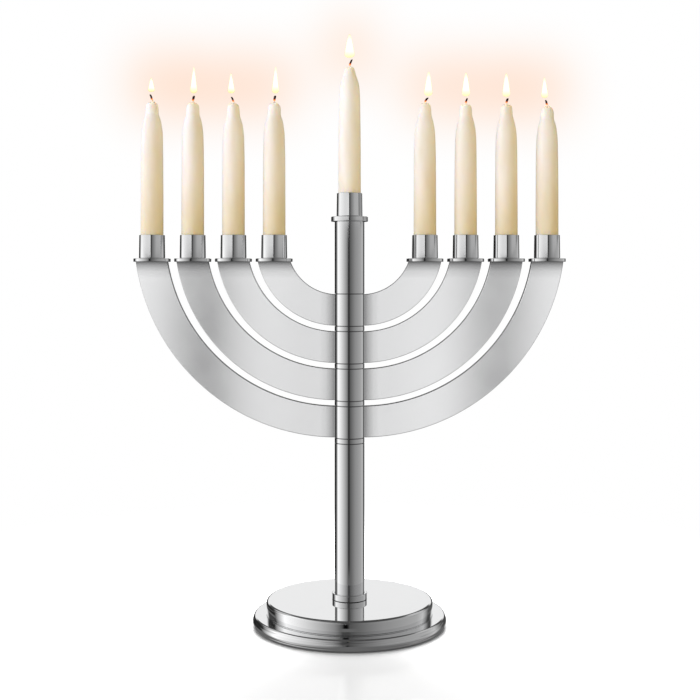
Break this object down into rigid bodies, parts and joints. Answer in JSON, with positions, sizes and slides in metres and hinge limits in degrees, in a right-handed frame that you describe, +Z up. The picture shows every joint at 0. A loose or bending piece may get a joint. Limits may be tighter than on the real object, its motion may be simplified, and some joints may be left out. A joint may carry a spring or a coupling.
{
  "type": "menorah",
  "caption": "Branched candelabrum with nested curved arms level at the top, a raised centre cup, a round stepped base and tapered candles.",
  "frame": {"origin": "centre of the underside of the felt pad, where the base meets the table", "axes": "+Z up along the stem's axis, +X along the branches towards the right-hand cups, -Y towards the viewer"},
  "size_m": [0.3694, 0.1648, 0.4834],
  "materials": {
    "polished_nickel": "polished",
    "steel": "satin",
    "cast_iron": "matte",
    "felt": "matte",
    "ivory_wax": "satin",
    "burnt_wick": "matte",
    "flame": "gloss"
  },
  "bodies": {
    "root": {"felt_pad": "felt", "foot_disc": "polished_nickel", "step_disc": "polished_nickel", "ballast_weight": "cast_iron", "column_collar": "polished_nickel", "tie_bolt": "steel", "lower_column": "polished_nickel", "spacer_ring_4": "polished_nickel", "spacer_ring_3": "polished_nickel", "spacer_ring_2": "polished_nickel", "spacer_ring_1": "polished_nickel", "upper_column": "polished_nickel", "centre_disc": "polished_nickel", "centre_cup": "polished_nickel"},
    "arm_4": {"arm_4_hub": "polished_nickel", "arm_4_branch_left": "polished_nickel", "arm_4_disc_left": "polished_nickel", "arm_4_cup_left": "polished_nickel", "arm_4_branch_right": "polished_nickel", "arm_4_disc_right": "polished_nickel", "arm_4_cup_right": "polished_nickel"},
    "arm_3": {"arm_3_hub": "polished_nickel", "arm_3_branch_left": "polished_nickel", "arm_3_disc_left": "polished_nickel", "arm_3_cup_left": "polished_nickel", "arm_3_branch_right": "polished_nickel", "arm_3_disc_right": "polished_nickel", "arm_3_cup_right": "polished_nickel"},
    "arm_2": {"arm_2_hub": "polished_nickel", "arm_2_branch_left": "polished_nickel", "arm_2_disc_left": "polished_nickel", "arm_2_cup_left": "polished_nickel", "arm_2_branch_right": "polished_nickel", "arm_2_disc_right": "polished_nickel", "arm_2_cup_right": "polished_nickel"},
    "arm_1": {"arm_1_hub": "polished_nickel", "arm_1_branch_left": "polished_nickel", "arm_1_disc_left": "polished_nickel", "arm_1_cup_left": "polished_nickel", "arm_1_branch_right": "polished_nickel", "arm_1_disc_right": "polished_nickel", "arm_1_cup_right": "polished_nickel"},
    "candle_4_left": {"candle_4_left": "ivory_wax", "wick_4_left": "burnt_wick"},
    "candle_4_right": {"candle_4_right": "ivory_wax", "wick_4_right": "burnt_wick"},
    "candle_3_left": {"candle_3_left": "ivory_wax", "wick_3_left": "burnt_wick"},
    "candle_3_right": {"candle_3_right": "ivory_wax", "wick_3_right": "burnt_wick"},
    "candle_2_left": {"candle_2_left": "ivory_wax", "wick_2_left": "burnt_wick"},
    "candle_2_right": {"candle_2_right": "ivory_wax", "wick_2_right": "burnt_wick"},
    "candle_1_left": {"candle_1_left": "ivory_wax", "wick_1_left": "burnt_wick"},
    "candle_1_right": {"candle_1_right": "ivory_wax", "wick_1_right": "burnt_wick"},
    "centre_candle": {"centre_candle": "ivory_wax", "centre_wick": "burnt_wick"}
  },
  "joints": [
    {"name": "arm_4_turn", "type": "hinge", "parent": "root", "child": "arm_4", "pos_m": [0, 0, 0.17345], "axis": [0, 0, 1], "continuous": true},
    {"name": "arm_3_turn", "type": "hinge", "parent": "root", "child": "arm_3", "pos_m": [0, 0, 0.20525], "axis": [0, 0, 1], "continuous": true},
    {"name": "arm_2_turn", "type": "hinge", "parent": "root", "child": "arm_2", "pos_m": [0, 0, 0.23705], "axis": [0, 0, 1], "continuous": true},
    {"name": "arm_1_turn", "type": "hinge", "parent": "root", "child": "arm_1", "pos_m": [0, 0, 0.26885], "axis": [0, 0, 1], "continuous": true},
    {"name": "candle_4_left_lift", "type": "slide", "parent": "arm_4", "child": "candle_4_left", "axis": [0, 0, 1], "range_m": [0, 0.04]},
    {"name": "candle_4_right_lift", "type": "slide", "parent": "arm_4", "child": "candle_4_right", "axis": [0, 0, 1], "range_m": [0, 0.04]},
    {"name": "candle_3_left_lift", "type": "slide", "parent": "arm_3", "child": "candle_3_left", "axis": [0, 0, 1], "range_m": [0, 0.04]},
    {"name": "candle_3_right_lift", "type": "slide", "parent": "arm_3", "child": "candle_3_right", "axis": [0, 0, 1], "range_m": [0, 0.04]},
    {"name": "candle_2_left_lift", "type": "slide", "parent": "arm_2", "child": "candle_2_left", "axis": [0, 0, 1], "range_m": [0, 0.04]},
    {"name": "candle_2_right_lift", "type": "slide", "parent": "arm_2", "child": "candle_2_right", "axis": [0, 0, 1], "range_m": [0, 0.04]},
    {"name": "candle_1_left_lift", "type": "slide", "parent": "arm_1", "child": "candle_1_left", "axis": [0, 0, 1], "range_m": [0, 0.04]},
    {"name": "candle_1_right_lift", "type": "slide", "parent": "arm_1", "child": "candle_1_right", "axis": [0, 0, 1], "range_m": [0, 0.04]},
    {"name": "centre_candle_lift", "type": "slide", "parent": "root", "child": "centre_candle", "axis": [0, 0, 1], "range_m": [0, 0.04]}
  ]
}
